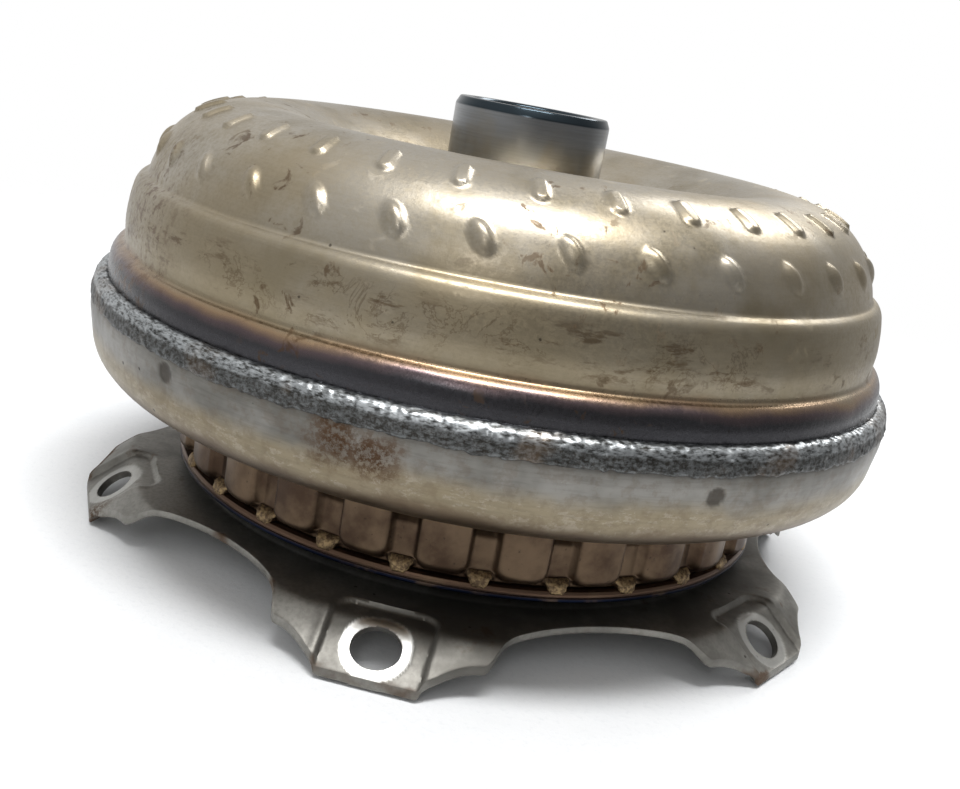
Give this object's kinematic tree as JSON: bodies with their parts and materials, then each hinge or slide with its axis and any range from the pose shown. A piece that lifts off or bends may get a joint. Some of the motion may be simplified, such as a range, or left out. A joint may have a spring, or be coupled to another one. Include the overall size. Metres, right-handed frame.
{
  "type": "torque converter",
  "caption": "Welded torque converter: domed pump shell with drive hub, front cover, castellated lock-up clutch drum and lugged drive plate, over a turbine, damper and one-way stator.",
  "frame": {"origin": "on the converter's axis, at the lowest edge of the six lugs that it stands on", "axes": "+Z along the axis towards the pump hub; -Y towards the lug that faces the viewer, 7.1 degrees off"},
  "size_m": [0.2784, 0.2784, 0.1545],
  "materials": {
    "drive_plate": "satin pressed steel with dark specks, bright machined seats round the bolt holes and rust on the cut edges",
    "pump_steel": "warm grey satin steel, tan and brown stains, straw to blue heat tint above the weld",
    "cover_steel": "grey satin steel with dark pits and a rusty patch, straw tint low down",
    "weld": "rough silver weld bead with fine ripples",
    "drum_bronze": "chocolate-brown heat-treated steel with tan brazed tips",
    "hub_steel": "dark polished steel with a blue-black chamfer",
    "pilot_steel": "turned steel",
    "end_plate": "satin steel with brown staining",
    "inner_steel": "oiled pressed steel",
    "dark_steel": "hardened dark steel",
    "bright_steel": "ground steel",
    "lining": "paper friction lining on a steel core, matte brown",
    "rubber": "black seal rubber",
    "aluminium": "cast aluminium",
    "nylon": "natural nylon"
  },
  "bodies": {
    "casing": {"drive_plate": "drive_plate", "plate_weld": "weld", "pilot_boss": "pilot_steel", "end_plate": "end_plate", "clutch_drum": "drum_bronze", "front_cover": "cover_steel", "weld_bead": "weld", "pump_shell": "pump_steel", "pump_hub": "hub_steel", "hub_weld": "weld", "pump_blade_ring": "inner_steel", "piston_boss": "bright_steel", "steel_plate_1": "bright_steel", "steel_plate_2": "bright_steel", "backing_plate": "bright_steel", "snap_ring": "dark_steel"},
    "piston": {"lockup_piston": "inner_steel", "piston_outer_seal": "rubber", "piston_inner_seal": "rubber"},
    "clutch_input": {"clutch_hub": "dark_steel", "damper_rear_plate": "dark_steel", "friction_disc_1": "lining", "friction_disc_2": "lining", "friction_disc_3": "lining", "damper_pin_1": "bright_steel", "damper_pin_2": "bright_steel", "damper_pin_3": "bright_steel", "damper_pin_4": "bright_steel", "damper_spring_1": "dark_steel", "damper_spring_2": "dark_steel", "damper_spring_3": "dark_steel", "damper_spring_4": "dark_steel"},
    "turbine": {"turbine_shell": "inner_steel", "turbine_blade_ring": "inner_steel", "turbine_hub": "bright_steel", "damper_flange": "inner_steel", "turbine_rivet_1": "dark_steel", "turbine_rivet_2": "dark_steel", "turbine_rivet_3": "dark_steel", "turbine_rivet_4": "dark_steel", "turbine_rivet_5": "dark_steel", "turbine_rivet_6": "dark_steel"},
    "inner_race": {"stator_inner_race": "bright_steel"},
    "stator": {"stator_wheel": "aluminium", "stator_outer_race": "bright_steel", "stator_front_washer": "nylon", "stator_rear_washer": "nylon", "stator_roller_1": "bright_steel", "stator_roller_2": "bright_steel", "stator_roller_3": "bright_steel", "stator_roller_4": "bright_steel", "stator_roller_5": "bright_steel", "stator_roller_6": "bright_steel"},
    "front_bearing": {"front_needle_cage": "bright_steel"},
    "middle_bearing": {"middle_needle_cage": "bright_steel"},
    "rear_bearing": {"rear_needle_cage": "bright_steel"}
  },
  "joints": [
    {"name": "turbine_spin", "type": "hinge", "parent": "casing", "child": "turbine", "pos_m": [0, 0, 0.0714], "axis": [0, 0, 1], "continuous": true},
    {"name": "damper_twist", "type": "hinge", "parent": "turbine", "child": "clutch_input", "pos_m": [0, 0, 0.0499], "axis": [0, 0, 1], "range_deg": [-8, 8], "stiffness_Nm_per_rad": 600, "deforming": ["damper_spring_1", "damper_spring_2", "damper_spring_3", "damper_spring_4"]},
    {"name": "piston_slide", "type": "slide", "parent": "casing", "child": "piston", "axis": [0, 0, 1], "range_m": [0, 0.0012]},
    {"name": "inner_race_spin", "type": "hinge", "parent": "casing", "child": "inner_race", "pos_m": [0, 0, 0.0915], "axis": [0, 0, 1], "continuous": true},
    {"name": "stator_spin", "type": "hinge", "parent": "inner_race", "child": "stator", "pos_m": [0, 0, 0.0915], "axis": [0, 0, 1], "continuous": true},
    {"name": "front_bearing_spin", "type": "hinge", "parent": "casing", "child": "front_bearing", "pos_m": [0, 0, 0.0342], "axis": [0, 0, 1], "continuous": true},
    {"name": "middle_bearing_spin", "type": "hinge", "parent": "turbine", "child": "middle_bearing", "pos_m": [0, 0, 0.0766], "axis": [0, 0, 1], "continuous": true},
    {"name": "rear_bearing_spin", "type": "hinge", "parent": "casing", "child": "rear_bearing", "pos_m": [0, 0, 0.1063], "axis": [0, 0, 1], "continuous": true}
  ],
  "couplings": [
    {"joint": "front_bearing_spin", "follows": "turbine_spin", "ratio": 0.5},
    {"joint": "rear_bearing_spin", "follows": "inner_race_spin", "ratio": 0.5}
  ]
}
